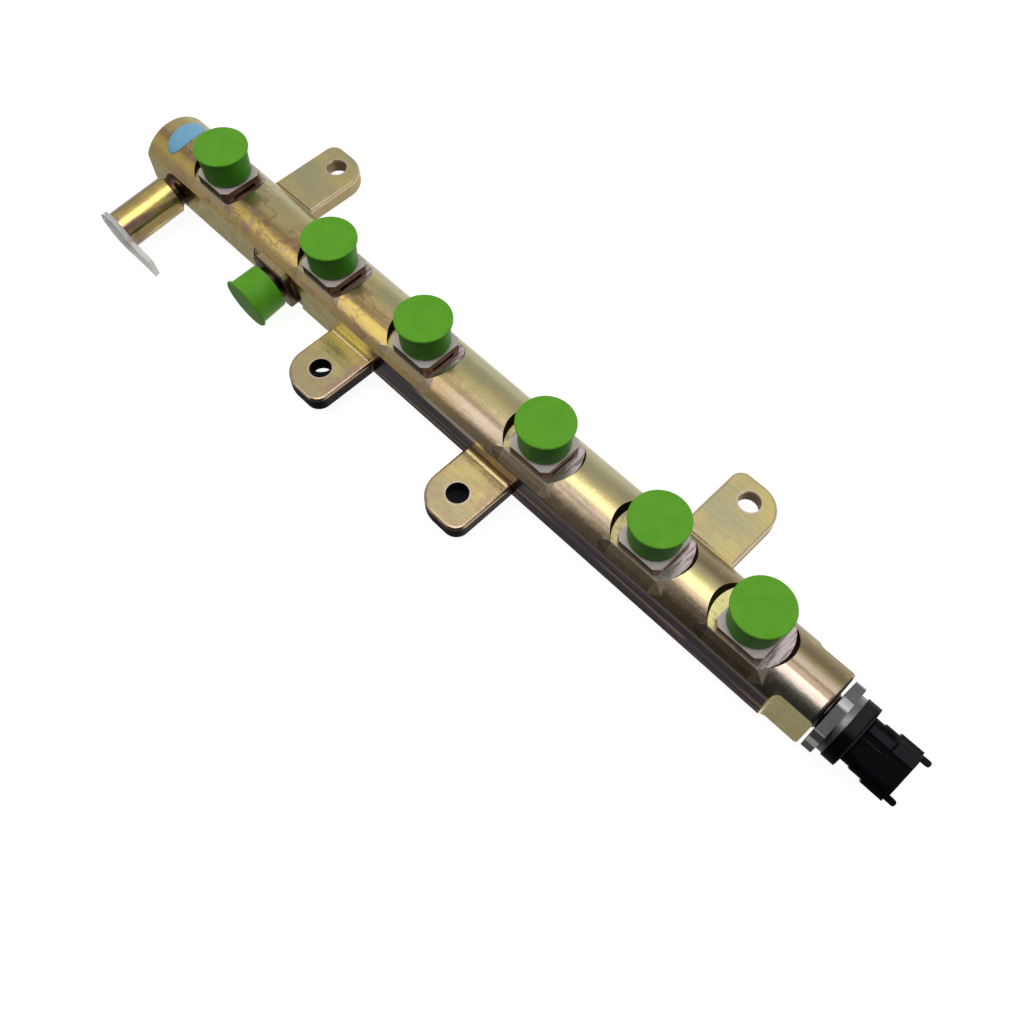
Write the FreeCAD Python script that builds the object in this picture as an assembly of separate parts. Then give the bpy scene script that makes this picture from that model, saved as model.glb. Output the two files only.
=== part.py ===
import FreeCAD, Part
import os

# Fuel rail for a six-cylinder diesel engine, in millimetres.
# X runs along the bar from its blind end to its sensor end, and +Z is the way the outlets point.
# Stations along the bar are measured from the first outlet, and heights from the bar's axis.
# The finished pieces are moved so that the origin lies midway between the two near ear holes,
# on the underside of the ears.

V = FreeCAD.Vector

# Bar
bar_radius = 17.6
bar_start = -45.4
bar_beyond_outlets = 37.9
start_chamfer = 1.0
end_round = 1.6
flat_depth = 2.4
wrench_depth = 5.0
wrench_length = 16.9
wrench_blend = 3.0
main_bore_radius = 4.5
main_bore_start = -33.0

# Ports along the bar
outlet_1_station = 0.0
outlet_2_station = 73.7
outlet_3_station = 132.1
outlet_4_station = 200.8
outlet_5_station = 258.5
outlet_6_station = 306.5
inlet_station = 48.9
relief_station = -26.1
inlet_dip = 5.5
inlet_lift = 0.7
inlet_cap_gap = 0.9
relief_dip = 5.5

# Pocket, socket and drilling of an outlet or of the inlet
pocket_depth = 4.2
pocket_radius = 16.2
pocket_wall_slope = 0.4
facet_depth = 0.32
facet_half_length = 11.0
facet_runout = 4.6
facet_angle = 50.0
facet_half_width = 5.0
socket_depth = 6.9
drilling_radius = 1.4
thread_clearance = 0.08

# Threaded nipple in each pocket
block_width = 21.4
block_height = 4.05
block_chamfer = 2.4
foot_slot_length = 12.0
foot_slot_height = 1.1
foot_slot_depth = 1.3
shank_radius = 8.0
shank_end_gap = 0.2
stud_radius = 8.9
stud_length = 13.95
stud_groove_depth = 0.9
stud_groove_length = 1.6
stud_chamfer = 1.0
seat_mouth_radius = 5.4
seat_depth = 6.0
nipple_bore_radius = 1.9

# Push-on cap
cap_lift = 1.35
cap_wall = 1.6
cap_crown_spread = 0.5
cap_top = 1.3
cap_rim_reach = 0.95
cap_rim_thickness = 1.0
cap_rim_round = 0.3
cap_clearance = 0.1

# Mounting ears
ear_width = 26.4
ear_thickness = 7.0
ear_drop = 2.5
ear_wide_corner = 13.0
ear_edge_round = 1.4
ear_hole_radius = 4.9
near_ear_1_station = 99.2
near_ear_2_station = 184.8
near_ear_reach = 32.75
near_ear_tip = 13.65
near_ear_corner = 6.0
near_root_fillet = 1.8
far_ear_1_station = 14.3
far_ear_2_station = 270.3
far_ear_reach = 48.5
far_ear_tip = 10.1
far_ear_corner = 5.5
far_root_groove = 6.9
far_groove_depth = 0.8

# Relief valve
relief_radius = 9.12
relief_neck = 3.3
relief_neck_radius = 7.2
relief_length = 30.0
relief_chamfer = 0.9
relief_socket_floor = 7.2
relief_orifice_radius = 1.2
relief_guide_radius = 4.5
relief_guide_start = 15.0
relief_seat_height = 2.4
relief_port_radius = 6.5
relief_port_depth = 8.0
poppet_length = 8.0
poppet_stem_radius = 2.0
poppet_stem_length = 3.0
sleeve_length = 6.0
sleeve_hole_radius = 2.0
guide_clearance = 0.1
spring_wire_radius = 0.75
spring_half_turns = 9
spring_seat_gap = 0.05

# Shipping plug in the relief valve's port
plug_flange_radius = 10.8
plug_flange_thickness = 2.2
plug_wall = 1.2
plug_depth = 6.5
plug_clearance = 0.05
tab_width = 12.2
tab_reach = 24.7
tab_drop = 2.9
tab_turn = -5.0
tab_corner = 1.5

# Pressure sensor, screwed into the end of the bar
sensor_turn = 24.0
sensor_socket_depth = 14.0
sensor_shank_radius = 9.0
sensor_neck_radius = 8.0
sensor_neck = 1.3
neck_groove_depth = 0.5
neck_groove_length = 0.7
hex_across_flats = 28.0
hex_height = 4.5
hex_turned_radius = 15.3
hex_turn = 6.5
collar_radius = 12.65
collar_height = 2.7
sensor_bore_radius = 1.5
sensor_cavity_radius = 9.6
sensor_cavity_depth = 5.6
cell_radius = 5.2
cell_height = 3.6
cell_wall = 0.6
board_thickness = 1.2
board_clearance = 0.3

# Connector of the sensor
flange_radius = 13.3
flange_height = 5.7
shell_width = 20.8
shell_height = 17.0
shell_length = 19.8
shell_corner = 5.0
shell_wall = 1.7
shell_root_length = 4.3
shell_root_inset = 0.6
socket_length = 16.2
wing_reach = 0.9
wing_height = 10.0
wing_start = 10.1
wing_length = 9.2
nub_reach = 3.9
nub_width = 2.5
nub_height = 6.0
nub_root = 2.0
nub_round = 1.0
rail_start = 0.9
rail_length = 9.3
rail_offset = 5.75
rail_width = 2.9
rail_height = 1.2
pad_start = 11.0
pad_length = 8.4
pad_offset = 6.2
pad_width = 4.0
pad_height = 1.5
recess_length = 8.6
recess_width = 2.8
recess_depth = 0.8
rib_offset = 1.3
rib_width = 0.6
rib_height = 0.5
rib_length = 7.8
pin_width = 1.6
pin_thickness = 0.8
pin_pitch = 4.6
pin_reach = 8.0
pin_clearance = 0.05
pin_chamfer = 0.25

# How far a cutting solid runs past the face that it opens
overrun = 1.0

# Values that follow from those above
outlet_stations = [
    outlet_1_station, outlet_2_station, outlet_3_station,
    outlet_4_station, outlet_5_station, outlet_6_station,
]
near_ear_stations = [near_ear_1_station, near_ear_2_station]
far_ear_stations = [far_ear_1_station, far_ear_2_station]
bar_end = outlet_6_station + bar_beyond_outlets
floor = bar_radius - pocket_depth
flat_half = bar_radius - flat_depth
wrench_half = bar_radius - wrench_depth
block_top = floor + block_height
stud_top = block_top + stud_length
cap_bottom = block_top + cap_lift
cap_bore = stud_radius + cap_clearance
cap_side = cap_bore + cap_wall
cap_crown = stud_top + cap_top
socket_radius = shank_radius + thread_clearance
relief_head = flat_half + relief_neck
relief_end = relief_head + relief_length
relief_port_floor = relief_end - relief_port_depth
hex_start = bar_end + sensor_neck
collar_start = hex_start + hex_height
housing_start = collar_start + collar_height
shell_start = housing_start + flange_height
shell_end = shell_start + shell_length
socket_start = shell_end - socket_length
ear_underside = -ear_drop - ear_thickness
ear_middle = sum(near_ear_stations) / len(near_ear_stations)
origin_shift = V(-ear_middle, near_ear_reach, -ear_underside)


def turned(profile):
    """Solid turned about Z from its (station, radius) corners."""
    corners = [V(radius, 0, station) for station, radius in profile]
    face = Part.Face(Part.makePolygon(corners + corners[:1]))
    return face.revolve(V(0, 0, 0), V(0, 0, 1), 360)


def block(x_size, y_size, start, end, x_middle=0.0, y_middle=0.0):
    """Box that stands on Z, centred on the given point."""
    corner = V(x_middle - x_size / 2, y_middle - y_size / 2, start)
    return Part.makeBox(x_size, y_size, end - start, corner)


def upright_edges(shape):
    """Straight edges that run along Z."""
    return [edge for edge in shape.Edges if abs(edge.tangentAt(edge.FirstParameter).z) > 0.99]


def at_port(shape, station, lean, lift=0.0):
    """Stand a piece, built about Z, at a port that leans from straight up towards the near side."""
    placed = shape.copy()
    placed.translate(V(0, 0, lift))
    placed.rotate(V(0, 0, 0), V(1, 0, 0), lean)
    placed.translate(V(station, 0, 0))
    return placed


def on_sensor_axis(shape):
    """Lay a piece built about Z along the bar: its X becomes the connector's width."""
    placed = shape.copy()
    placed.rotate(V(0, 0, 0), V(1, 1, 1), 120)
    placed.rotate(V(0, 0, 0), V(1, 0, 0), sensor_turn)
    return placed


def save(shape, name):
    """Move a piece into the part's frame and write it."""
    placed = shape.removeSplitter()
    placed.translate(origin_shift)
    if placed.ShapeType == "Compound" and len(placed.Solids) == 1:
        placed = placed.Solids[0]
    placed.exportStep("parts/%s.step" % name)


inlet_lean = 90 + inlet_dip
relief_lean = 90 + relief_dip
ports = [(station, 0.0, 0.0) for station in outlet_stations]
ports.append((inlet_station, inlet_lean, inlet_lift))
os.makedirs("parts", exist_ok=True)


# Round bar with two flat sides
bar = Part.makeCylinder(bar_radius, bar_end - bar_start, V(bar_start, 0, 0), V(1, 0, 0))
end_edges = [edge for edge in bar.Edges if abs(edge.CenterOfMass.x - bar_end) < 0.001]
bar = bar.makeFillet(end_round, end_edges)
start_edges = [edge for edge in bar.Edges if abs(edge.CenterOfMass.x - bar_start) < 0.001]
bar = bar.makeChamfer(start_chamfer, start_edges)
between_flats = Part.makeBox(
    bar_end - bar_start, 2 * flat_half, 2 * bar_radius, V(bar_start, -flat_half, -bar_radius)
)
bar = bar.common(between_flats)

# Deeper wrench flats at the sensor end, blended into the side flats
wrench_start = bar_end - wrench_length
wrench_cut = Part.makeBox(
    wrench_length + overrun, bar_radius, 2 * bar_radius, V(wrench_start, wrench_half, -bar_radius)
)
blend_edges = [
    edge for edge in upright_edges(wrench_cut)
    if abs(edge.CenterOfMass.x - wrench_start) < 0.001 and edge.CenterOfMass.y < bar_radius
]
wrench_cut = wrench_cut.makeFillet(wrench_blend, blend_edges)
far_cut = wrench_cut
near_cut = wrench_cut.mirror(V(0, 0, 0), V(0, 1, 0))
bar = bar.cut(far_cut).cut(near_cut)


# Ears: a plan with one tight and one wide corner, pointing to +Y with the wide corner towards +X
def ear(reach, tip, corner):
    """Ear with its hole, about the hole's own station."""
    length = reach + tip
    half = ear_width / 2
    plate = Part.makeBox(ear_width, length, ear_thickness, V(-half, 0, ear_underside))
    tip_edges = [edge for edge in upright_edges(plate) if edge.CenterOfMass.y > length / 2]
    wide_edges = [edge for edge in tip_edges if edge.CenterOfMass.x > 0]
    plate = plate.makeFillet(ear_wide_corner, wide_edges)
    tight_edges = [
        edge for edge in upright_edges(plate)
        if edge.CenterOfMass.x < 0 and edge.CenterOfMass.y > length / 2
    ]
    plate = plate.makeFillet(corner, tight_edges)
    top_edges = [
        edge for edge in plate.Edges
        if abs(edge.CenterOfMass.z + ear_drop) < 0.001 and edge.CenterOfMass.y > 0.001
    ]
    plate = plate.makeFillet(ear_edge_round, top_edges)
    hole = Part.makeCylinder(
        ear_hole_radius, ear_thickness + 2 * overrun, V(0, reach, ear_underside - overrun)
    )
    return plate.cut(hole)


# The far ears have a shallow milled groove along the root, the near ears a small fillet
far_ear = ear(far_ear_reach, far_ear_tip, far_ear_corner)
groove = Part.makeBox(
    ear_width, far_root_groove, far_groove_depth,
    V(-ear_width / 2, flat_half, -ear_drop - far_groove_depth)
)
far_ear = far_ear.cut(groove)
near_ear = ear(near_ear_reach, near_ear_tip, near_ear_corner)
scoop_width = ear_width - 2 * ear_edge_round
root = Part.makeBox(
    scoop_width, near_root_fillet, near_root_fillet, V(-scoop_width / 2, flat_half, -ear_drop)
)
scoop = Part.makeCylinder(
    near_root_fillet, scoop_width,
    V(-scoop_width / 2, flat_half + near_root_fillet, near_root_fillet - ear_drop), V(1, 0, 0)
)
near_ear = near_ear.fuse(root.cut(scoop))
near_ear.rotate(V(0, 0, 0), V(0, 0, 1), 180)
ears = []
for pattern, stations in ((far_ear, far_ear_stations), (near_ear, near_ear_stations)):
    for station in stations:
        placed = pattern.copy()
        placed.translate(V(station, 0, 0))
        ears.append(placed)
bar = bar.fuse(ears)

# Pocket, threaded socket and drilling at each outlet and at the inlet
pocket_reach = pocket_depth + flat_depth
pocket = turned([
    (floor, 0),
    (floor, pocket_radius),
    (floor + pocket_reach, pocket_radius + pocket_wall_slope * pocket_reach),
    (floor + pocket_reach, 0),
])
socket = Part.makeCylinder(socket_radius, socket_depth + overrun, V(0, 0, floor - socket_depth))
drilling = Part.makeCylinder(drilling_radius, floor)
cuts = []
for station, lean, lift in ports:
    for tool in (pocket, socket, drilling):
        cuts.append(at_port(tool, station, lean, lift))

# Shallow facet on the near side of each outlet, running out on the round at both ends
facet_floor = bar_radius - facet_depth
facet_end = facet_half_length + facet_runout
facet_corners = [
    V(-facet_half_length, -facet_half_width, facet_floor),
    V(facet_half_length, -facet_half_width, facet_floor),
    V(facet_end, -facet_half_width, bar_radius),
    V(facet_end, -facet_half_width, bar_radius + overrun),
    V(-facet_end, -facet_half_width, bar_radius + overrun),
    V(-facet_end, -facet_half_width, bar_radius),
]
facet_face = Part.Face(Part.makePolygon(facet_corners + facet_corners[:1]))
facet = facet_face.extrude(V(0, 2 * facet_half_width, 0))
for station in outlet_stations:
    cuts.append(at_port(facet, station, facet_angle))

# Socket of the relief valve, main bore and socket of the sensor
relief_socket = Part.makeCylinder(socket_radius, bar_radius, V(0, 0, relief_socket_floor))
relief_drilling = Part.makeCylinder(drilling_radius, bar_radius)
cuts.append(at_port(relief_socket, relief_station, relief_lean))
cuts.append(at_port(relief_drilling, relief_station, relief_lean))
cuts.append(Part.makeCylinder(
    main_bore_radius, bar_end - main_bore_start, V(main_bore_start, 0, 0), V(1, 0, 0)
))
sensor_socket_radius = sensor_shank_radius + thread_clearance
sensor_floor = bar_end - sensor_socket_depth
cuts.append(Part.makeCylinder(
    sensor_socket_radius, sensor_socket_depth + overrun, V(sensor_floor, 0, 0), V(1, 0, 0)
))
rail_body = bar.cut(cuts)
save(rail_body, "rail_body")


# Nipple: square base with chamfered corners, shank below, stud with cone seat above
base = block(block_width, block_width, floor, block_top)
base = base.makeChamfer(block_chamfer, upright_edges(base))
slot_middle = block_width / 2 - foot_slot_depth / 2
for side in (-1, 1):
    slot = block(
        foot_slot_depth, foot_slot_length, floor, floor + foot_slot_height, side * slot_middle
    )
    base = base.cut(slot)
groove_top = block_top + stud_groove_length
groove_radius = stud_radius - stud_groove_depth
stem = turned([
    (floor - socket_depth + shank_end_gap, nipple_bore_radius),
    (floor - socket_depth + shank_end_gap, shank_radius),
    (floor, shank_radius),
    (block_top, groove_radius),
    (groove_top, groove_radius),
    (groove_top + stud_groove_depth, stud_radius),
    (stud_top - stud_chamfer, stud_radius),
    (stud_top, stud_radius - stud_chamfer),
    (stud_top, seat_mouth_radius),
    (stud_top - seat_depth, nipple_bore_radius),
])
base_bore = Part.makeCylinder(nipple_bore_radius, block_height, V(0, 0, floor))
nipple = base.cut(base_bore).fuse(stem)

# Cap: drafted side, thin rim, flat crown that rests on the stud
cap = turned([
    (cap_bottom, cap_bore),
    (cap_bottom, cap_side),
    (cap_crown - cap_rim_thickness, cap_side + cap_crown_spread),
    (cap_crown - cap_rim_thickness, cap_side + cap_crown_spread + cap_rim_reach),
    (cap_crown - cap_rim_round, cap_side + cap_crown_spread + cap_rim_reach),
    (cap_crown, cap_side + cap_crown_spread + cap_rim_reach - cap_rim_round),
    (cap_crown, 0),
    (stud_top, 0),
    (stud_top, cap_bore),
])
for number, station in enumerate(outlet_stations, 1):
    save(at_port(nipple, station, 0.0), "outlet_fitting_%d" % number)
    save(at_port(cap, station, 0.0), "outlet_cap_%d" % number)
save(at_port(nipple, inlet_station, inlet_lean, inlet_lift), "inlet_fitting")
save(at_port(cap, inlet_station, inlet_lean, inlet_lift + inlet_cap_gap), "inlet_cap")


# Relief valve: turned body with a conical seat, a guide bore and a wider port
relief_body = turned([
    (relief_socket_floor, relief_orifice_radius),
    (relief_socket_floor, shank_radius),
    (flat_half, shank_radius),
    (flat_half + 0.5 * relief_neck, relief_neck_radius),
    (relief_head, relief_neck_radius),
    (relief_head, relief_radius - relief_chamfer),
    (relief_head + relief_chamfer, relief_radius),
    (relief_end, relief_radius),
    (relief_end, relief_port_radius),
    (relief_port_floor, relief_port_radius),
    (relief_port_floor, relief_guide_radius),
    (relief_guide_start + relief_seat_height, relief_guide_radius),
    (relief_guide_start, relief_orifice_radius),
])
# Poppet: its cone has the seat's own slope, so they meet face to face
poppet_radius = relief_guide_radius - guide_clearance
seat_slope = relief_seat_height / (relief_guide_radius - relief_orifice_radius)
poppet_shoulder = relief_guide_start + relief_seat_height - guide_clearance * seat_slope
poppet_end = poppet_shoulder + poppet_length
relief_poppet = turned([
    (relief_guide_start, 0),
    (relief_guide_start, relief_orifice_radius),
    (poppet_shoulder, poppet_radius),
    (poppet_end, poppet_radius),
    (poppet_end, poppet_stem_radius),
    (poppet_end + poppet_stem_length, poppet_stem_radius),
    (poppet_end + poppet_stem_length, 0),
])
# Sleeve that sets the spring load, flush with the floor of the port
sleeve_start = relief_port_floor - sleeve_length
relief_sleeve = turned([
    (sleeve_start, sleeve_hole_radius),
    (sleeve_start, poppet_radius),
    (relief_port_floor, poppet_radius),
    (relief_port_floor, sleeve_hole_radius),
])
# Spring between the poppet and the sleeve
spring_radius = poppet_radius - guide_clearance - spring_wire_radius
spring_start = poppet_end + spring_wire_radius + spring_seat_gap
spring_height = sleeve_start - spring_start - spring_wire_radius - spring_seat_gap
half_rise = spring_height / spring_half_turns
helix = Part.makeHelix(2 * half_rise, half_rise, spring_radius)
wire_edge = Part.makeCircle(spring_wire_radius, V(spring_radius, 0, 0), V(0, 1, 0))
half_turn = Part.Wire(helix).makePipeShell([Part.Wire(wire_edge)], True, True)
turns = []
for number in range(spring_half_turns):
    placed = half_turn.copy()
    placed.rotate(V(0, 0, 0), V(0, 0, 1), 180 * number)
    placed.translate(V(0, 0, spring_start + half_rise * number))
    turns.append(placed)
coil = turns[0].fuse(turns[1:])

# Shipping plug: hollow stopper, flange and a flat tab that points along the bar
plug_radius = relief_port_radius - plug_clearance
flange_end = relief_end + plug_flange_thickness
stopper = turned([
    (relief_end - plug_depth, plug_radius - plug_wall),
    (relief_end - plug_depth, plug_radius),
    (relief_end, plug_radius),
    (relief_end, plug_flange_radius),
    (flange_end, plug_flange_radius),
    (flange_end, 0),
    (relief_end, 0),
    (relief_end, plug_radius - plug_wall),
])
tab = block(tab_reach, tab_width, relief_end, flange_end, tab_reach / 2, -tab_drop)
tab_edges = [edge for edge in upright_edges(tab) if edge.CenterOfMass.x > tab_reach / 2]
tab = tab.makeFillet(tab_corner, tab_edges)
tab.rotate(V(0, 0, 0), V(0, 0, 1), tab_turn)
relief_plug = stopper.fuse(tab)
relief_pieces = [
    (relief_body, "relief_body"),
    (relief_poppet, "relief_poppet"),
    (relief_sleeve, "relief_sleeve"),
    (coil, "relief_spring"),
    (relief_plug, "relief_plug"),
]
for piece, name in relief_pieces:
    save(at_port(piece, relief_station, relief_lean), name)


# Sensor body: shank, neck, hexagon turned down at its corners, and collar
cavity_floor = housing_start - sensor_cavity_depth
groove_bottom = sensor_neck_radius - neck_groove_depth
sensor_turning = turned([
    (sensor_floor, sensor_bore_radius),
    (sensor_floor, sensor_shank_radius),
    (bar_end - sensor_neck, sensor_shank_radius),
    (bar_end - sensor_neck, sensor_neck_radius),
    (hex_start - neck_groove_length, sensor_neck_radius),
    (hex_start - neck_groove_length, groove_bottom),
    (hex_start, groove_bottom),
    (hex_start, collar_radius),
    (housing_start, collar_radius),
    (housing_start, sensor_cavity_radius),
    (cavity_floor, sensor_cavity_radius),
    (cavity_floor, sensor_bore_radius),
])
corner_radius = hex_across_flats / 3 ** 0.5
hexagon = Part.makePolygon([
    V(corner_radius, 0, hex_start),
    V(corner_radius / 2, hex_across_flats / 2, hex_start),
    V(-corner_radius / 2, hex_across_flats / 2, hex_start),
    V(-corner_radius, 0, hex_start),
    V(-corner_radius / 2, -hex_across_flats / 2, hex_start),
    V(corner_radius / 2, -hex_across_flats / 2, hex_start),
    V(corner_radius, 0, hex_start),
])
hex_solid = Part.Face(hexagon).extrude(V(0, 0, hex_height))
hex_solid.rotate(V(0, 0, 0), V(0, 0, 1), hex_turn)
hex_turning = Part.makeCylinder(hex_turned_radius, hex_height, V(0, 0, hex_start))
hex_core = Part.makeCylinder(sensor_neck_radius, hex_height, V(0, 0, hex_start))
sensor_body = hex_solid.common(hex_turning).cut(hex_core).fuse(sensor_turning)

# Cell and board inside it
cell_top = cavity_floor + cell_height
sensor_cell = turned([
    (cavity_floor, sensor_bore_radius),
    (cavity_floor, cell_radius),
    (cell_top, cell_radius),
    (cell_top, 0),
    (cell_top - cell_wall, 0),
    (cell_top - cell_wall, sensor_bore_radius),
])
board_radius = sensor_cavity_radius - board_clearance
board_top = cell_top + board_thickness
sensor_board = Part.makeCylinder(board_radius, board_thickness, V(0, 0, cell_top))

# Connector shell: flange, rounded box with a deep socket, side wings and end nubs
flange = Part.makeCylinder(flange_radius, flange_height, V(0, 0, housing_start))
root_end = shell_start + shell_root_length
root_width = shell_width - 2 * shell_root_inset
shell_root = block(root_width, shell_height, shell_start, root_end)
shell_root = shell_root.makeFillet(shell_corner, upright_edges(shell_root))
shell = block(shell_width, shell_height, root_end, shell_end)
shell = shell.makeFillet(shell_corner, upright_edges(shell))
socket_space = block(
    shell_width - 2 * shell_wall, shell_height - 2 * shell_wall, socket_start, shell_end
)
socket_space = socket_space.makeFillet(shell_corner - shell_wall, upright_edges(socket_space))
wing_bottom = shell_start + wing_start
wings = block(shell_width + 2 * wing_reach, wing_height, wing_bottom, wing_bottom + wing_length)
nub_offset = shell_width / 2 - nub_width / 2
nubs = []
for side in (-1, 1):
    nub = block(nub_width, nub_height, shell_end - nub_root, shell_end + nub_reach, side * nub_offset)
    tip_edges = [
        edge for edge in nub.Edges
        if abs(edge.CenterOfMass.z - shell_end - nub_reach) < 0.001
        and abs(edge.tangentAt(edge.FirstParameter).y) > 0.99
    ]
    nubs.append(nub.makeFillet(nub_round, tip_edges))

# Latch details on the wide face of the shell
top = shell_height / 2
rail_bottom = shell_start + rail_start
latch_rail = block(
    rail_width, 2 * rail_height, rail_bottom, rail_bottom + rail_length, rail_offset, top
)
pad_bottom = shell_start + pad_start
latch_pad = block(pad_width, 2 * pad_height, pad_bottom, pad_bottom + pad_length, pad_offset, top)
rib = block(rib_width, 2 * rib_height, rail_bottom, rail_bottom + rib_length, rib_offset, top)
recess_offset = rail_offset - rail_width / 2 - recess_width / 2
recess = block(
    recess_width, 2 * recess_depth, shell_start, shell_start + recess_length, recess_offset, top
)
outer = flange.fuse([shell_root, shell, wings, latch_rail, latch_pad, rib] + nubs)
sensor_housing = outer.cut(recess).cut(socket_space)

# Contact pins from the board, through the floor of the socket
pin_top = socket_start + pin_reach
pins = []
for number in (-1, 0, 1):
    pin_x = number * pin_pitch
    pin = block(pin_width, pin_thickness, board_top, pin_top, pin_x)
    end_edges = [edge for edge in pin.Edges if abs(edge.CenterOfMass.z - pin_top) < 0.001]
    pins.append(pin.makeChamfer(pin_chamfer, end_edges))
    hole = block(
        pin_width + 2 * pin_clearance, pin_thickness + 2 * pin_clearance,
        housing_start, socket_start, pin_x
    )
    sensor_housing = sensor_housing.cut(hole)

sensor_pieces = [
    (sensor_body, "sensor_body"),
    (sensor_cell, "sensor_cell"),
    (sensor_board, "sensor_board"),
    (sensor_housing, "sensor_housing"),
]
for number, pin in enumerate(pins, 1):
    sensor_pieces.append((pin, "sensor_pin_%d" % number))
for piece, name in sensor_pieces:
    save(on_sensor_axis(piece), name)
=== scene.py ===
import math
import bmesh
import bpy
from mathutils import Matrix, Vector


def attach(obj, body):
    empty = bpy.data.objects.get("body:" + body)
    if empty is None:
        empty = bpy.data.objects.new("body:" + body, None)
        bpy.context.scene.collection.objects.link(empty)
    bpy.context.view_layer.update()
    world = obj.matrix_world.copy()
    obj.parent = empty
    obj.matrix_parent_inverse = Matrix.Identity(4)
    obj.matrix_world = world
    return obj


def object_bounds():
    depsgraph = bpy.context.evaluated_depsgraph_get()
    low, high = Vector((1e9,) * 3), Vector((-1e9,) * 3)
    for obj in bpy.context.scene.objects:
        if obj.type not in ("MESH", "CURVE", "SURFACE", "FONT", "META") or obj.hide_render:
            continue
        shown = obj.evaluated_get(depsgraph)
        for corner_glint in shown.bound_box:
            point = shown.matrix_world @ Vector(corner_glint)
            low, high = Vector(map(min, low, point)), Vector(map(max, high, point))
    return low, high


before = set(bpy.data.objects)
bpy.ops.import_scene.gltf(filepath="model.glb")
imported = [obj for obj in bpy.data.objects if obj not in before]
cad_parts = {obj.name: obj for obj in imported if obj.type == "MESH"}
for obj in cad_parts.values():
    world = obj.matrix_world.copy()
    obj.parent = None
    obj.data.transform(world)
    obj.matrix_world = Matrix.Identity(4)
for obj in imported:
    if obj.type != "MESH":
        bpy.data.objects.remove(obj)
cad_low, cad_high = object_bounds()


# The rail is one steel forging: a drawn bar with four ears, machined pockets and wrench flats.
# It is zinc plated and passivated yellow, so it is glossy and its film shifts from khaki and
# gold to pink and lilac in long streaks, with brown stains where the bath dried.
degrees_in_radian = 57.3


class Wire:
    """An output in a material's node tree, or the bare tree before its first node."""

    def __init__(self, tree, socket=None):
        self.tree = tree
        self.socket = socket

    def node(self, kind, settings=None, inputs=None, output=0):
        """One output of a new node with these settings, values and links."""
        made = self.tree.nodes.new(kind)
        for name, value in (settings or {}).items():
            setattr(made, name, value)
        for name, value in (inputs or {}).items():
            if isinstance(value, Wire):
                self.tree.links.new(value.socket, made.inputs[name])
            else:
                made.inputs[name].default_value = value
        return Wire(self.tree, made.outputs[output])

    def math(self, operation, first, second):
        return self.node("ShaderNodeMath", {"operation": operation}, {0: first, 1: second})

    def __add__(self, other):
        return self.math("ADD", self, other)

    def __radd__(self, other):
        return self.math("ADD", other, self)

    def __sub__(self, other):
        return self.math("SUBTRACT", self, other)

    def __rsub__(self, other):
        return self.math("SUBTRACT", other, self)

    def __mul__(self, other):
        return self.math("MULTIPLY", self, other)

    def __rmul__(self, other):
        return self.math("MULTIPLY", other, self)

    def __abs__(self):
        return self.math("ABSOLUTE", self, 0.0)

    def hypot(self, other):
        """Length of the vector that has this value and another as its parts."""
        return self.math("POWER", self * self + other * other, 0.5)

    def bearing(self, other):
        """Degrees from the other value's axis round to this value's axis."""
        return self.math("ARCTAN2", self, other) * degrees_in_radian

    def rise(self, start, end, low=0.0, high=1.0):
        """Smooth step from low to high as this value goes from start to end."""
        sockets = {"Value": self, "From Min": start, "From Max": end}
        sockets.update({"To Min": low, "To Max": high})
        return self.node("ShaderNodeMapRange", {"interpolation_type": "SMOOTHSTEP"}, sockets)

    def band(self, start, full, last, end):
        """1 from full to last, with smooth steps to 0 at start and end."""
        return self.rise(start, full) * self.rise(end, last)

    def noise(self, scale, detail=3.0, stretch=(1, 1, 1), roughness=0.55):
        """Noise over this vector, from 0 to 1, with its scale in features per unit."""
        placed = self.node("ShaderNodeMapping", {}, {"Vector": self, "Scale": stretch})
        sockets = {"Vector": placed, "Scale": scale, "Detail": detail, "Roughness": roughness}
        return self.node("ShaderNodeTexNoise", {}, sockets)

    def blend(self, first, second):
        """Colour that goes from the first to the second as this value goes from 0 to 1."""
        sockets = {0: self}
        for name, colour in ((6, first), (7, second)):
            sockets[name] = colour if isinstance(colour, Wire) else (*colour, 1.0)
        return self.node("ShaderNodeMix", {"data_type": "RGBA"}, sockets, 2)

    def axes(self):
        """The three parts of this vector."""
        return [
            self.node("ShaderNodeSeparateXYZ", {}, {"Vector": self}, number)
            for number in range(3)
        ]

    def bump(self, height, strength=1.0):
        """Normal of a surface that this value lifts by up to a height in metres."""
        sockets = {"Height": self, "Strength": strength, "Distance": height}
        return self.node("ShaderNodeBump", {}, sockets)


class Finish:
    """A material with one Principled shader, and its place in millimetres from a given point."""

    def __init__(self, name, middle=(0.0, 0.0, 0.0), turn=(0.0, 0.0, 0.0)):
        self.material = bpy.data.materials.new(name)
        self.material.use_nodes = True
        tree = self.material.node_tree
        tree.nodes.clear()
        self.shader = tree.nodes.new("ShaderNodeBsdfPrincipled")
        output = tree.nodes.new("ShaderNodeOutputMaterial")
        tree.links.new(self.shader.outputs[0], output.inputs[0])
        self.wire = Wire(tree)
        placed = self.wire.node("ShaderNodeTexCoord", {}, {}, "Object")
        shift = {"Vector": placed, "Location": [-part for part in middle]}
        placed = self.wire.node("ShaderNodeMapping", {}, shift)
        sockets = {"Vector": placed, "Rotation": turn, "Scale": (1000.0, 1000.0, 1000.0)}
        self.place = self.wire.node("ShaderNodeMapping", {}, sockets)

    def set(self, **values):
        """Feed the shader's sockets and give back the material."""
        for name, value in values.items():
            socket = self.shader.inputs[name.replace("_", " ")]
            if isinstance(value, Wire):
                self.wire.tree.links.new(value.socket, socket)
            else:
                socket.default_value = value
        return self.material


def dress(names, material):
    """Give CAD nodes their material."""
    for name in names:
        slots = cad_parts[name].data.materials
        slots.clear()
        slots.append(material)


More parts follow.
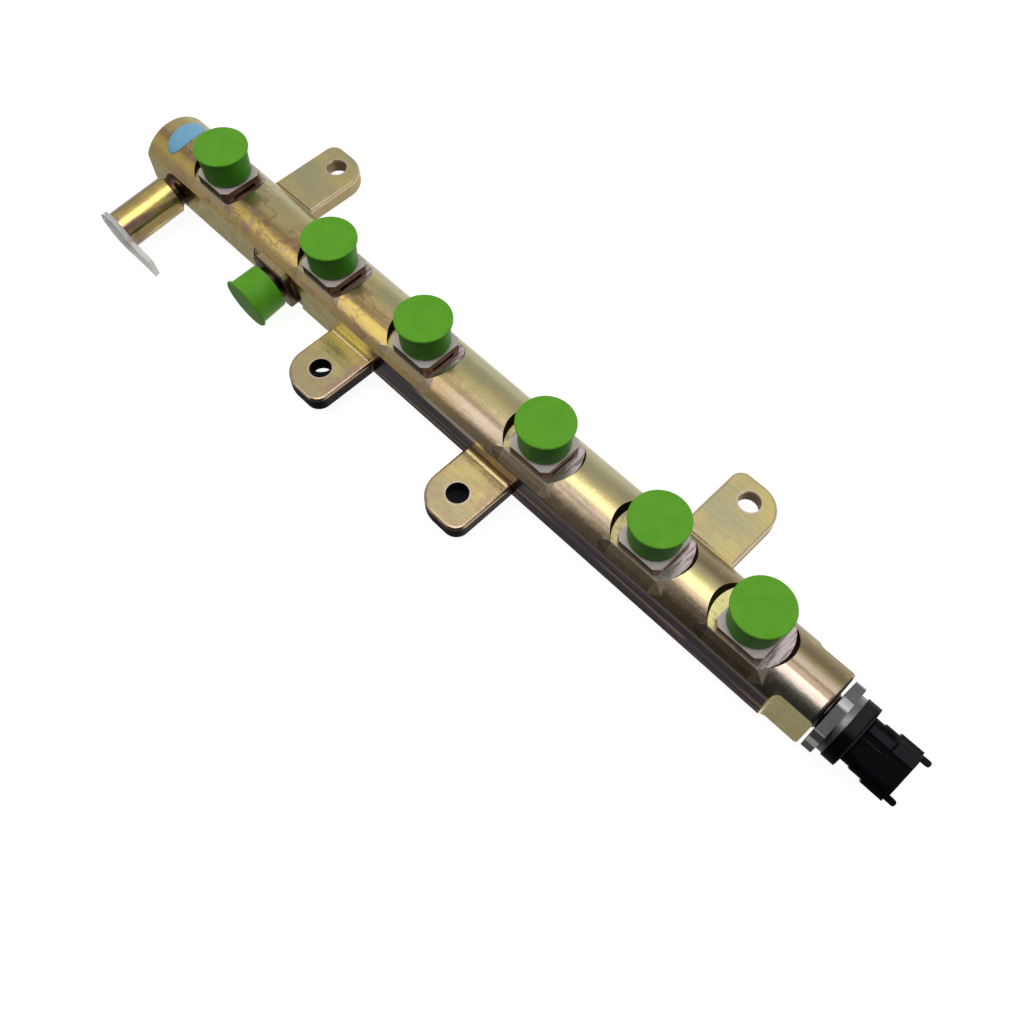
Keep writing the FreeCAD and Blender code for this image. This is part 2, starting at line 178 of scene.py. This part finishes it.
# The first outlet's station on the bar's axis in metres, and places from there in millimetres
first_outlet = (-0.142, 0.03275, 0.0095)
outlet_places = (0.0, 73.7, 132.1, 200.8, 258.5, 306.5)
inlet_place = 48.9
near_ear_places = (99.2, 184.8)
far_ear_places = (14.3, 270.3)
near_ear_reach = -32.75
far_ear_reach = 48.5
ear_top = -2.5
ear_hole_radius = 4.9
pocket_wall_radius = 17.4
between_outlets = 100.0
outlet_span = 23.5
# The inlet dips 5.5 degrees below the level, and its pocket starts 14.1 mm from the axis
dip_cosine = 0.9954
dip_sine = 0.0958
port_start = 14.1

# Colours of the chromate film, and of the painted highlights and painted shade on the bar
khaki = (0.74, 0.62, 0.29)
olive = (0.60, 0.59, 0.34)
gold = (0.92, 0.68, 0.20)
bronze = (0.62, 0.43, 0.20)
straw = (0.84, 0.72, 0.33)
blush = (0.84, 0.67, 0.50)
rose = (0.66, 0.42, 0.32)
stain = (0.20, 0.11, 0.06)
near_gold = (0.84, 0.61, 0.26)
near_brown = (0.54, 0.41, 0.26)
far_olive = (0.40, 0.36, 0.20)
far_brown = (0.34, 0.26, 0.15)
end_blush = (0.86, 0.68, 0.52)
end_brown = (0.36, 0.26, 0.19)
end_cream = (0.72, 0.62, 0.54)
end_shade = (0.40, 0.38, 0.31)
fleck = (0.88, 0.66, 0.36)
tide_brown = (0.50, 0.28, 0.17)
facet_highlight_gold = (0.92, 0.76, 0.50)
facet_end_highlight = (0.98, 0.86, 0.62)
pocket_wall_shade = (0.045, 0.026, 0.016)
port_wall_shade = (0.07, 0.042, 0.026)
hole_shade_colour = (0.012, 0.009, 0.010)
rim_highlight_pink = (0.92, 0.76, 0.62)
glint_grey = (0.46, 0.39, 0.29)
glint_pink = (0.86, 0.77, 0.64)

chromate = Finish("yellow_chromate", first_outlet)
along, across, up = chromate.place.axes()
from_axis = across.hypot(up)
# Degrees round the bar: 90 on the crest and more on the near side
angle = up.bearing(across)
patches = chromate.place.noise(0.045, 4.0, (0.35, 1, 1))
streaks = chromate.place.noise(0.35, 3.0, (0.035, 1, 1))
mottle = chromate.place.noise(0.22, 5.0)
blotches = chromate.place.noise(0.11, 5.0, (0.6, 1, 1), 0.65)
grain = chromate.place.noise(1.6, 4.0)
# Distance along the bar from the nearest outlet, and 100 away from all of them
from_outlet = between_outlets
for place in outlet_places:
    here = along - place
    close = here.math("LESS_THAN", abs(here), outlet_span)
    from_outlet = close * (here - between_outlets) + from_outlet

# Khaki on the far side, browner gold on the near one, olive in patches
near_film = along.rise(130.0, 180.0).blend(near_gold, near_brown)
tint = angle.rise(84.0, 118.0).blend(khaki, near_film)
tint = (patches.rise(0.42, 0.60) * angle.rise(100.0, 70.0)).blend(tint, olive)
tint = (angle.rise(70.0, 50.0) * 0.7).blend(tint, olive)
tint = (angle.rise(58.0, 47.0) * 0.8).blend(tint, far_olive)
tint = (angle.rise(84.0, 72.0) * along.rise(225.0, 275.0, 0.0, 0.9)).blend(tint, far_brown)
# The shoulder is golden with bronze beside it, and past the middle it turns to blush
blind_half = along.rise(155.0, 125.0)
shoulder = angle.band(111.0, 117.0, 127.0, 134.0)
tint = (shoulder * blind_half * streaks.rise(0.70, 0.45)).blend(tint, gold)
beside = angle.band(98.0, 104.0, 111.0, 117.0)
tint = (beside * blind_half * streaks.rise(0.35, 0.55) * 0.9).blend(tint, bronze)
sensor_half = along.rise(140.0, 175.0)
tint = (shoulder * sensor_half * streaks.rise(0.62, 0.42)).blend(tint, blush)
crest = angle.band(88.0, 92.0, 105.0, 111.0)
tint = (crest * along.rise(195.0, 225.0) * streaks.rise(0.68, 0.50)).blend(tint, straw)
# Past the last pocket it lies in stripes, and below the highlight on the near side it is painted
# darker as painted shade
end_film = along.rise(316.0, 324.0)
tint = (end_film * angle.band(80.0, 85.0, 90.0, 94.0)).blend(tint, end_blush)
tint = (end_film * angle.band(90.0, 95.0, 102.0, 106.0)).blend(tint, end_brown)
tint = (end_film * angle.rise(102.0, 105.0) * 0.9).blend(tint, end_cream)
tint = (end_film * angle.rise(113.0, 120.0) * 0.85).blend(tint, end_shade)
# Blotches of rose and bronze, mostly towards the blind end
tint = (blotches.rise(0.54, 0.66) * along.rise(330.0, 60.0, 0.15, 0.75)).blend(tint, rose)
tint = (mottle.rise(0.60, 0.72) * 0.45).blend(tint, fleck)
# Thin rose brown lines where the bath dried, like the grain of wood
swirl = chromate.place.noise(0.055, 4.0, (0.6, 1, 1), 0.62)
tide = abs(swirl - 0.5).rise(0.026, 0.006)
tide = tide * along.rise(150.0, 95.0, 0.10, 0.62) * patches.rise(0.40, 0.52)
tint = tide.blend(tint, tide_brown)
# The facets beside the outlets, and the ends of some, are painted lighter than the bar round them,
# as painted highlight
facet = angle.band(130.6, 131.6, 140.4, 141.4) * abs(from_outlet).rise(11.4, 10.4)
tint = (facet * 0.5).blend(tint, facet_highlight_gold)
facet_end = angle.band(130.2, 131.0, 141.0, 142.0) * along.rise(80.0, 110.0)
facet_end = facet_end * from_outlet.band(-15.4, -14.6, -11.0, -9.4)
tint = (facet_end * 0.6).blend(tint, facet_end_highlight)

# The pockets' walls are painted dark as painted shade, and their floors are khaki towards the
# blind end, yellow in the last pocket, and lilac past the outlet
within = from_axis.rise(pocket_wall_radius + 0.1, pocket_wall_radius - 0.1)
pocket = within * up.rise(13.2, 13.3)
floor_film = from_outlet.rise(-2.0, 3.0)
scratches = chromate.place.noise(0.8, 3.0, (1, 0.12, 1))
khaki_floor = mottle.rise(0.42, 0.60).blend((0.80, 0.70, 0.34), (0.52, 0.44, 0.26))
yellow_floor = mottle.rise(0.50, 0.64).blend((1.0, 0.94, 0.42), (0.66, 0.56, 0.30))
khaki_floor = along.rise(280.0, 284.0).blend(khaki_floor, yellow_floor)
lilac_floor = scratches.rise(0.48, 0.62).blend((0.78, 0.66, 0.66), (0.34, 0.28, 0.26))
tint = pocket.blend(tint, floor_film.blend(khaki_floor, lilac_floor))
pocket_wall = within * up.rise(13.45, 13.60)
tint = pocket_wall.blend(tint, pocket_wall_shade)

# The near flat is dark purple brown with lilac and gold draw marks, and khaki at both ends; a
# light line along its top edge is painted highlight
flat = across.rise(-15.0, -15.18)
long_part = along.band(108.0, 116.0, 327.0, 327.6)
draw_marks = chromate.place.noise(0.55, 3.0, (0.016, 1, 1))
middle_tone_and_highlight = draw_marks.rise(0.50, 0.60).blend((0.028, 0.017, 0.018), (0.11, 0.055, 0.12))
gold_marks = draw_marks.rise(0.57, 0.64) * patches.rise(0.42, 0.52)
middle_tone_and_highlight = gold_marks.blend(middle_tone_and_highlight, (0.46, 0.29, 0.11))
# Light lines along the top edge of the flat, the brightest by the second ear, are painted
# highlight
edge_highlight = up.rise(5.2, 6.3) * draw_marks.rise(0.42, 0.50) * along.rise(235.0, 195.0, 0.5, 1.0)
middle_tone_and_highlight = (edge_highlight * 0.8).blend(middle_tone_and_highlight, (0.44, 0.35, 0.24))
highlight_by_second_ear = up.rise(5.6, 7.0) * along.band(138.0, 150.0, 178.0, 184.0)
middle_tone_and_highlight = (highlight_by_second_ear * 0.8).blend(middle_tone_and_highlight, (0.96, 0.85, 0.66))
light_film = mottle.rise(0.40, 0.60).blend((0.92, 0.82, 0.38), (0.84, 0.70, 0.28))
tint = flat.blend(tint, long_part.blend(light_film, middle_tone_and_highlight))
# The wrench flat by the sensor is a brighter yellow
wrench = along.rise(327.3, 327.8) * across.rise(-12.3, -12.5) * up.rise(12.6, 12.3)
tint = wrench.blend(tint, mottle.rise(0.40, 0.60).blend((0.98, 0.88, 0.42), (0.92, 0.76, 0.34)))
# The inlet sits in a shallow pocket of its own, whose wall is painted dark as painted shade
port_side = up * dip_cosine - across * dip_sine
port_depth = across * -dip_cosine - up * dip_sine - port_start
port_radius = (along - inlet_place).hypot(port_side)
port_wall = (port_radius - port_depth * 0.4).rise(16.35, 16.30) * port_depth.rise(0.10, 0.25)
tint = port_wall.blend(tint, port_wall_shade)

# The ears are brighter, with pink edges, and their side faces are painted dark as painted shade,
# almost black on the near ears
ear = abs(across).rise(15.25, 15.9) * up.rise(2.6, 1.2)
ear_film = blotches.rise(0.45, 0.62).blend((0.90, 0.75, 0.32), (0.80, 0.62, 0.32))
ear_film = (patches.rise(0.40, 0.60) * across.rise(0.0, 5.0)).blend(ear_film, (0.66, 0.62, 0.36))
near_side = across.rise(0.0, -1.0)
ear_film = (across.rise(-26.0, -37.0) * 0.5).blend(ear_film, (0.56, 0.46, 0.32))
# The side faces below the top edge, painted darker as painted shade
under = up.rise(-3.2, -4.2)
ear_film = (under * near_side).blend(ear_film, (0.022, 0.014, 0.014))
ear_film = (under * (1.0 - near_side)).blend(ear_film, (0.50, 0.40, 0.22))
for place in near_ear_places:
    here = along - place
    rim = here.band(6.5, 11.0, 14.0, 15.0) * near_side * up.rise(-3.2, ear_top - 0.1)
    ear_film = (rim * mottle.rise(0.40, 0.58) * 0.7).blend(ear_film, (0.66, 0.42, 0.33))
bevel = up.band(-3.6, -3.2, ear_top - 0.12, ear_top)
ear_film = (bevel * mottle.rise(0.35, 0.55)).blend(ear_film, (0.86, 0.62, 0.52))
tint = ear.blend(tint, ear_film)
# Each ear hole has a pink rim, a painted highlight, and the two near holes are painted dark inside
# as painted shade
hole_rim_glint = 0.0
hole_shade = 0.0
for places, reach, dark in (
    (near_ear_places, near_ear_reach, 1.0),
    (far_ear_places, far_ear_reach, 0.15),
):
    for place in places:
        from_hole = (along - place).hypot(across - reach)
        in_hole = from_hole.rise(ear_hole_radius + 0.1, ear_hole_radius + 0.03)
        hole_shade = (in_hole * up.rise(ear_top - 0.01, ear_top - 0.1) * dark) + hole_shade
        by_hole = from_hole.rise(ear_hole_radius + 1.0, ear_hole_radius + 0.4)
        hole_rim_glint = by_hole * up.rise(ear_top - 0.1, ear_top - 0.01) + hole_rim_glint
tint = (hole_rim_glint * 0.8).blend(tint, rim_highlight_pink)
tint = hole_shade.blend(tint, hole_shade_colour)

# Paler, less metallic patches where each facet runs out and along the near edge of each pocket:
# painted highlight
left_of = (from_outlet - 11.3) * 2.2 + 130.4 - angle
right_of = 14.4 + (angle - 121.0) * 0.1 - from_outlet
facet_end_glint = left_of.rise(-0.6, 0.6) * right_of.rise(-0.3, 0.3) * angle.rise(141.6, 140.2)
facet_end_glint = facet_end_glint * from_outlet.rise(11.0, 11.4) * from_axis.rise(17.0, 17.2)
near_edge_glint = (across + 11.3).hypot(up - 13.4).rise(0.50, 0.20) * abs(from_outlet).rise(12.0, 11.4)
dull_glint = facet_end_glint.math("MAXIMUM", facet_end_glint, near_edge_glint * 0.75)
tint = (dull_glint * 0.8).blend(tint, glint_grey)
tint = (near_edge_glint * 0.6).blend(tint, glint_pink)

# Small brown spots all over, a roughness that follows the film, and the forging's own skin
spots = chromate.place.noise(0.75, 2.0).rise(0.70, 0.76)
tint = (spots * 0.6).blend(tint, stain)
roughness = 0.13 + 0.12 * mottle + 0.10 * streaks + 0.03 * grain
roughness = roughness + 0.25 * pocket_wall + 0.5 * hole_shade + 0.3 * ear * under
forged_skin = streaks * 0.5 + blotches * 0.9 + mottle * 0.35 + grain * 0.03
dress(["rail_body"], chromate.set(
    Base_Color=tint,
    Metallic=1.0 - dull_glint * 0.6,
    Roughness=roughness,
    Normal=forged_skin.bump(0.00030, 0.6),
))


# Each nipple is a machined steel piece with a square base and a threaded stud.
# The top of its base is pale and satin, a painted highlight, and the sides of the base are reddish
# brown.
fitting = Finish("fitting_chromate", first_outlet)
mottle = fitting.place.noise(0.30, 4.0)
turning = fitting.place.noise(2.4, 2.0, (1, 1, 0.2))
out, height = fitting.place.axes()[1:]
tint = mottle.rise(0.35, 0.65).blend((0.30, 0.17, 0.10), (0.22, 0.14, 0.09))
# The near side face and the stud under the cap are painted darker, as painted shade
tint = out.rise(-10.0, -10.5).blend(tint, (0.12, 0.085, 0.06))
top = height.rise(17.2, 17.44)
tint = top.blend(tint, mottle.rise(0.3, 0.7).blend((0.97, 0.87, 0.86), (0.92, 0.80, 0.77)))
stem_shade = height.rise(17.5, 17.6)
tint = stem_shade.blend(tint, (0.05, 0.04, 0.035))
outlet_numbers = range(1, len(outlet_places) + 1)
dress(
    ["outlet_fitting_%d" % number for number in outlet_numbers],
    fitting.set(
        Base_Color=tint,
        Metallic=1.0 - 0.85 * top,
        Roughness=0.34 + 0.16 * mottle + 0.1 * top,
        Normal=(turning * 0.5 + mottle).bump(0.00012, 0.4),
    ),
)

inlet = Finish("inlet_chromate", first_outlet)
mottle = inlet.place.noise(0.30, 4.0)
along, out, height = inlet.place.axes()
# The base is khaki; its side towards the sensor end and the stud under the cap are painted near
# black as painted shade
tint = mottle.rise(0.35, 0.65).blend((0.60, 0.50, 0.26), (0.46, 0.34, 0.20))
tint = along.rise(58.0, 59.3).blend(tint, (0.11, 0.070, 0.045))
tint = out.rise(-18.0, -18.15).blend(tint, (0.09, 0.065, 0.045))
dress(["inlet_fitting"], inlet.set(
    Base_Color=tint,
    Metallic=1.0,
    Roughness=0.26 + 0.16 * mottle,
    Normal=mottle.bump(0.00012, 0.4),
))


# The caps are moulded in soft green polyethylene and pushed over the studs.
# Their crowns are flat with a fine matt grain, and their sides are a little glossier.
cap = Finish("green_polyethylene", first_outlet)
cloud = cap.place.noise(0.16, 3.0)
grain = cap.place.noise(3.5, 3.0)
height = cap.place.axes()[2]
green = cloud.rise(0.35, 0.65).blend((0.155, 0.53, 0.026), (0.180, 0.57, 0.036))
# The sides of the upright caps are painted a deeper green than their crowns, as painted shade
green = height.band(15.0, 16.0, 31.9, 32.3).blend(green, (0.062, 0.29, 0.009))
dress(
    ["outlet_cap_%d" % number for number in outlet_numbers] + ["inlet_cap"],
    cap.set(
        Base_Color=green,
        Roughness=0.40 + 0.10 * grain,
        Normal=(grain * 0.6 + cloud).bump(0.00008, 0.35),
        Specular_IOR_Level=0.2,
    ),
)


# The relief valve is a turned stub with a bright, strongly gold film and turning marks
# that run round it. Its poppet, spring and sleeve are bare ground steel inside.
relief_dip = math.radians(5.5)
stub_middle = (-0.1681, 0.03275, 0.0095)
gilt = Finish("gold_chromate", stub_middle, (-relief_dip, 0.0, 0.0))
rings = gilt.place.noise(0.9, 3.0, (0.25, 1, 0.25))
mottle = gilt.place.noise(0.18, 3.0)
smear = gilt.place.noise(0.30, 3.0, (1, 0.2, 1))
side, out, height = gilt.place.axes()
round_stub = height.bearing(side)
tint = mottle.rise(0.35, 0.65).blend((0.90, 0.72, 0.20), (0.78, 0.56, 0.22))
# Round the stub the tint turns grey olive on one side and brown and dark on the other, round a
# gold streak: painted light and shade
tint = round_stub.rise(92.0, 112.0).blend(tint, (0.34, 0.30, 0.19))
brown = round_stub.band(8.0, 22.0, 50.0, 62.0)
tint = (brown * smear.rise(0.65, 0.40)).blend(tint, (0.42, 0.25, 0.20))
tint = (round_stub.rise(24.0, 10.0) * smear.rise(0.25, 0.50)).blend(tint, (0.27, 0.20, 0.085))
tint = (rings.rise(0.60, 0.70) * 0.5).blend(tint, (0.60, 0.38, 0.30))
tint = (out.rise(-46.0, -47.5) * smear.rise(0.40, 0.60)).blend(tint, (0.56, 0.34, 0.40))
# The low tip and the neck at the bar are painted dark as painted shade
low_tip_shade = out.rise(-38.0, -45.0) * round_stub.rise(45.0, 15.0) * smear.rise(0.60, 0.45)
tint = low_tip_shade.blend(tint, (0.20, 0.13, 0.08))
tint = out.rise(-19.0, -18.2).blend(tint, (0.10, 0.065, 0.04))
dress(["relief_body"], gilt.set(
    Base_Color=tint,
    Metallic=1.0,
    Roughness=0.16 + 0.14 * rings,
    Normal=(rings * 0.5 + mottle).bump(0.00012, 0.4),
))

ground = Finish("ground_steel", stub_middle)
scratches = ground.place.noise(2.0, 3.0, (1, 0.1, 1))
tint = scratches.rise(0.3, 0.7).blend((0.52, 0.52, 0.54), (0.66, 0.66, 0.68))
dress(["relief_poppet", "relief_spring", "relief_sleeve", "sensor_cell"], ground.set(
    Base_Color=tint, Metallic=1.0, Roughness=0.22 + 0.15 * scratches
))


# The shipping plug is pushed into the stub: clear soft polyethylene that has gone milky,
# with a flat pull tab.
milky = Finish("milky_polyethylene", stub_middle)
haze = milky.place.noise(0.25, 3.0)
dress(["relief_plug"], milky.set(
    Base_Color=haze.rise(0.3, 0.7).blend((0.90, 0.90, 0.87), (0.96, 0.96, 0.93)),
    Roughness=0.40 + 0.2 * haze,
    Transmission_Weight=0.50,
    IOR=1.25,
    Normal=haze.bump(0.0002, 0.3),
))


# The pressure sensor screws into the end of the bar. Its body is plain turned steel, satin
# grey, with a hexagon whose corners are turned down and a round collar.
sensor_turn = math.radians(24.0)
sensor_middle = (0.2042, 0.03275, 0.0095)
steel = Finish("satin_steel", sensor_middle)
lathe = steel.place.noise(2.2, 3.0, (1, 0.15, 0.15))
cloud = steel.place.noise(0.3, 3.0)
station, out, height = steel.place.axes()
from_middle = out.hypot(height)
satin = (0.6 * lathe + 0.4 * cloud).rise(0.3, 0.7)
tint = satin.blend((0.17, 0.163, 0.163), (0.24, 0.232, 0.230))
# The hexagon's faces are painted lighter and darker by their angle, its turned corners painted
# bright, and the groove behind it painted dark: painted light and shade
sensor_round = height.bearing(out)
tint = (sensor_round.rise(90.0, 92.0) * 0.5).blend(tint, (0.32, 0.29, 0.295))
tint = (sensor_round.rise(150.0, 152.0) * 0.9).blend(tint, (0.96, 0.95, 0.91))
corner_glint = from_middle.rise(15.02, 15.12) * station.band(-0.6, -0.5, 4.0, 4.1)
corner_glint_tone = sensor_round.rise(115.0, 125.0).blend((0.64, 0.63, 0.62), (0.56, 0.53, 0.52))
tint = corner_glint.blend(tint, corner_glint_tone)
collar = station.rise(4.0, 4.1)
tint = collar.blend(tint, lathe.rise(0.3, 0.7).blend((0.24, 0.23, 0.23), (0.32, 0.31, 0.31)))
groove = station.rise(-0.40, -0.60) * from_middle.rise(8.4, 8.2)
tint = (groove * station.rise(-1.5, -1.15)).blend(tint, (0.02, 0.018, 0.018))
dress(["sensor_body"], steel.set(
    Base_Color=tint,
    Metallic=1.0,
    Roughness=0.32 + 0.16 * cloud,
    Normal=(lathe + cloud).bump(0.00008, 0.4),
))


# The connector is moulded in black glass-filled plastic with a fine spark-eroded texture.
# Its three contacts are tin plated, and the board behind them is green laminate.
black = Finish("black_moulding", sensor_middle, (-sensor_turn, 0.0, 0.0))
texture = black.place.noise(5.0, 3.0)
rub = black.place.noise(0.35, 4.0)
station, width, height = black.place.axes()
tint = rub.rise(0.45, 0.75).blend((0.0020, 0.0026, 0.0042), (0.005, 0.006, 0.009))
# The raised rails, the ring and one flank are painted a little lighter, as painted highlight
raised_glint = height.rise(8.55, 8.7) * station.rise(11.5, 12.0)
tint = raised_glint.blend(tint, (0.025, 0.028, 0.035))
lit_ring = station.rise(11.4, 11.0) * width.band(-2.5, 0.5, 9.0, 13.0)
tint = lit_ring.blend(tint, (0.030, 0.028, 0.030))
flank_sheen = width.rise(6.5, 9.5) * station.rise(20.0, 24.0)
tint = (flank_sheen * 0.8).blend(tint, (0.032, 0.032, 0.034))
dress(["sensor_housing"], black.set(
    Base_Color=tint,
    Roughness=0.38 + 0.16 * texture,
    Specular_IOR_Level=0.06,
    Normal=texture.bump(0.00006, 0.3),
))

tin = Finish("tinned_contact", sensor_middle)
wipe = tin.place.noise(1.5, 3.0, (0.2, 1, 1))
dress(["sensor_pin_1", "sensor_pin_2", "sensor_pin_3"], tin.set(
    Base_Color=wipe.rise(0.3, 0.7).blend((0.70, 0.66, 0.52), (0.84, 0.80, 0.66)),
    Metallic=1.0,
    Roughness=0.22 + 0.15 * wipe,
))

laminate = Finish("board_laminate", sensor_middle)
weave = laminate.place.noise(1.2, 2.0)
dress(["sensor_board"], laminate.set(
    Base_Color=weave.rise(0.4, 0.6).blend((0.02, 0.10, 0.04), (0.03, 0.15, 0.06)),
    Roughness=0.4,
))


# The sticker is thin pale blue vinyl, a bare oval laid round the bar near its blind end.
# Its long axis runs round the bar and is turned a little.
label_half_length = 0.0052
label_half_girth = 0.0117
label_station = -0.0328
label_offset = 0.0005
label_turn = math.radians(10.0)
bar_radius = 0.0176
label_thickness = 0.00012
label_lift = 0.00004
label_spokes = 96


def add_object(name, shape, material):
    """Put a bmesh shape into the scene with its material."""
    mesh = bpy.data.meshes.new(name)
    shape.to_mesh(mesh)
    shape.free()
    mesh.materials.append(material)
    added = bpy.data.objects.new(name, mesh)
    bpy.context.scene.collection.objects.link(added)
    return added


# A row of edges is spun into a disc of radius 1, which is then shaped and laid on the bar
outline = bmesh.new()
spokes = [outline.verts.new((0.1 * step, 0.0, 0.0)) for step in range(11)]
for first, second in zip(spokes, spokes[1:]):
    outline.edges.new((first, second))
bmesh.ops.spin(
    outline, geom=outline.verts[:] + outline.edges[:], axis=(0, 0, 1), cent=(0, 0, 0),
    angle=math.tau, steps=label_spokes, use_merge=True,
)
bmesh.ops.remove_doubles(outline, verts=outline.verts[:], dist=0.001)
for vertex in outline.verts:
    flat_x = vertex.co.x * label_half_length
    flat_y = vertex.co.y * label_half_girth
    turned_x = flat_x * math.cos(label_turn) - flat_y * math.sin(label_turn)
    turned_y = flat_x * math.sin(label_turn) + flat_y * math.cos(label_turn) + label_offset
    bend = turned_y / bar_radius
    vertex.co = Vector((
        first_outlet[0] + label_station + turned_x,
        first_outlet[1] + (bar_radius + label_lift) * math.sin(bend),
        first_outlet[2] + (bar_radius + label_lift) * math.cos(bend),
    ))
bmesh.ops.recalc_face_normals(outline, faces=outline.faces[:])
if sum(face.normal.z for face in outline.faces) < 0:
    bmesh.ops.reverse_faces(outline, faces=outline.faces[:])
skin = bmesh.ops.extrude_face_region(outline, geom=outline.faces[:])
for vertex in [item for item in skin["geom"] if isinstance(item, bmesh.types.BMVert)]:
    away = Vector((0.0, vertex.co.y - first_outlet[1], vertex.co.z - first_outlet[2])).normalized()
    vertex.co += away * label_thickness
bmesh.ops.recalc_face_normals(outline, faces=outline.faces[:])
vinyl = Finish("blue_vinyl", first_outlet)
fade = vinyl.place.noise(0.4, 3.0)
label = add_object("label", outline, vinyl.set(
    Base_Color=fade.rise(0.3, 0.7).blend((0.24, 0.60, 0.93), (0.29, 0.66, 0.96)),
    Roughness=0.38 + 0.1 * fade,
    Normal=fade.bump(0.0001, 0.2),
))
for face in label.data.polygons:
    face.use_smooth = True
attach(label, "root")


# The studio: a pale floor under the rail, one large round soft light overhead, a smaller one
# off the blind end, and a room that is pale on the far side and dark on the near one.
floor_half_size = 4.0
floor_gap = 0.0005
wall_radius = 3.9
wall_height = 8.0

# Under the two near ears the floor's colour and glow are painted dark, a painted shadow, but for a
# spot left bright where light comes through the first hole
paper = Finish("paper")
floor_east, floor_north = paper.place.axes()[:2]
first_shade = (floor_east + 50.5).hypot(floor_north - 4.5).rise(7.5, 6.5)
second_shade = (floor_east - 38.2).hypot(floor_north - 4.2).rise(7.5, 6.5)
spot_east = floor_east + 51.5
spot_north = floor_north - 5.4
spot_long = spot_east * 0.63 + spot_north * 0.78
spot_wide = (spot_east * 0.78 - spot_north * 0.63) * 3.0
outside_spot = (spot_long * spot_long + spot_wide * spot_wide).rise(6.0, 12.0)
shade = first_shade * outside_spot + second_shade
paper.set(
    Base_Color=(0.9 * shade).blend((0.30, 0.30, 0.30), (0.01, 0.01, 0.012)),
    Roughness=0.9,
    Specular_IOR_Level=0.0,
    Emission_Color=shade.blend((1.0, 1.0, 1.0), (0.004, 0.004, 0.006)),
    Emission_Strength=0.92,
)
sheet = bmesh.new()
bmesh.ops.create_grid(sheet, x_segments=1, y_segments=1, size=floor_half_size)
bmesh.ops.translate(sheet, verts=sheet.verts[:], vec=(0.0, 0.0, cad_low.z - floor_gap))
floor = add_object("floor", sheet, paper.material)

# The same paper stands round the floor as a wide wall, for views from low down
tube = bmesh.new()
bmesh.ops.create_cone(
    tube, segments=64, radius1=wall_radius, radius2=wall_radius, depth=wall_height,
    cap_ends=False, cap_tris=False,
)
wall = add_object("wall", tube, paper.material)
wall.visible_shadow = False
for sheet_object in (floor, wall):
    sheet_object.visible_glossy = False
    sheet_object.visible_diffuse = False

for name, place, target, radius, radiance in (
    ("overhead", (0.03, -0.125, 1.0), (0.03, -0.125, 0.0), 0.40, 1.45),
    ("side", (-0.62, -0.90, 0.95), (0.02, 0.03, 0.0), 0.42, 0.80),
):
    light = bpy.data.lights.new(name, "AREA")
    light.shape = "DISK"
    light.size = 2 * radius
    light.energy = radiance * math.pi * (math.pi * radius * radius)
    lamp = bpy.data.objects.new(name, light)
    bpy.context.scene.collection.objects.link(lamp)
    lamp.location = place
    aim = Vector(target) - Vector(place)
    lamp.rotation_euler = aim.to_track_quat("-Z", "Y").to_euler()

# The room is pale beyond the rail and dim on the photographer's side, with a brighter patch
# high up towards the blind end
room = bpy.data.worlds.new("room")
bpy.context.scene.world = room
room.use_nodes = True
room.node_tree.nodes.clear()
sky = Wire(room.node_tree)
direction = sky.node("ShaderNodeTexCoord", {}, {}, "Generated")
east, north, high = direction.axes()
near_glow = east.rise(-0.05, -0.65, 0.02, 0.31)
far_glow = high.rise(0.45, -0.60, 0.44, 1.0)
glow = near_glow + north.rise(-0.12, 0.22) * (far_glow - near_glow)
glow = glow + high.rise(0.72, 0.88) * east.rise(-0.62, -0.38) * 0.24
glow = glow + high.rise(-0.45, -0.80) * north.rise(0.05, -0.05) * (0.26 - near_glow)
sky_colour = glow.blend((0.0, 0.0, 0.0), (1.0, 0.99, 0.98))
backdrop = room.node_tree.nodes.new("ShaderNodeBackground")
room.node_tree.links.new(sky_colour.socket, backdrop.inputs["Color"])
room_output = room.node_tree.nodes.new("ShaderNodeOutputWorld")
room.node_tree.links.new(backdrop.outputs[0], room_output.inputs[0])

# The camera was fitted to the rims of the six upright caps in the photo
photo_width = 1024.0
focal_pixels = 1041.4
film_width = 36.0
camera_data = bpy.data.cameras.new("camera")
camera_data.sensor_width = film_width
camera_data.lens = film_width * focal_pixels / photo_width
camera_data.shift_y = -0.25 / photo_width
camera_data.clip_start = 0.01
camera_data.clip_end = 20.0
camera = bpy.data.objects.new("camera", camera_data)
bpy.context.scene.collection.objects.link(camera)
camera.matrix_world = Matrix((
    (0.704784, -0.632837, 0.320619, 0.197800),
    (0.709335, 0.621546, -0.332452, -0.128778),
    (0.011109, 0.461733, 0.886950, 0.376339),
    (0.0, 0.0, 0.0, 1.0),
))
bpy.context.scene.camera = camera
bpy.context.scene.view_settings.view_transform = "Standard"
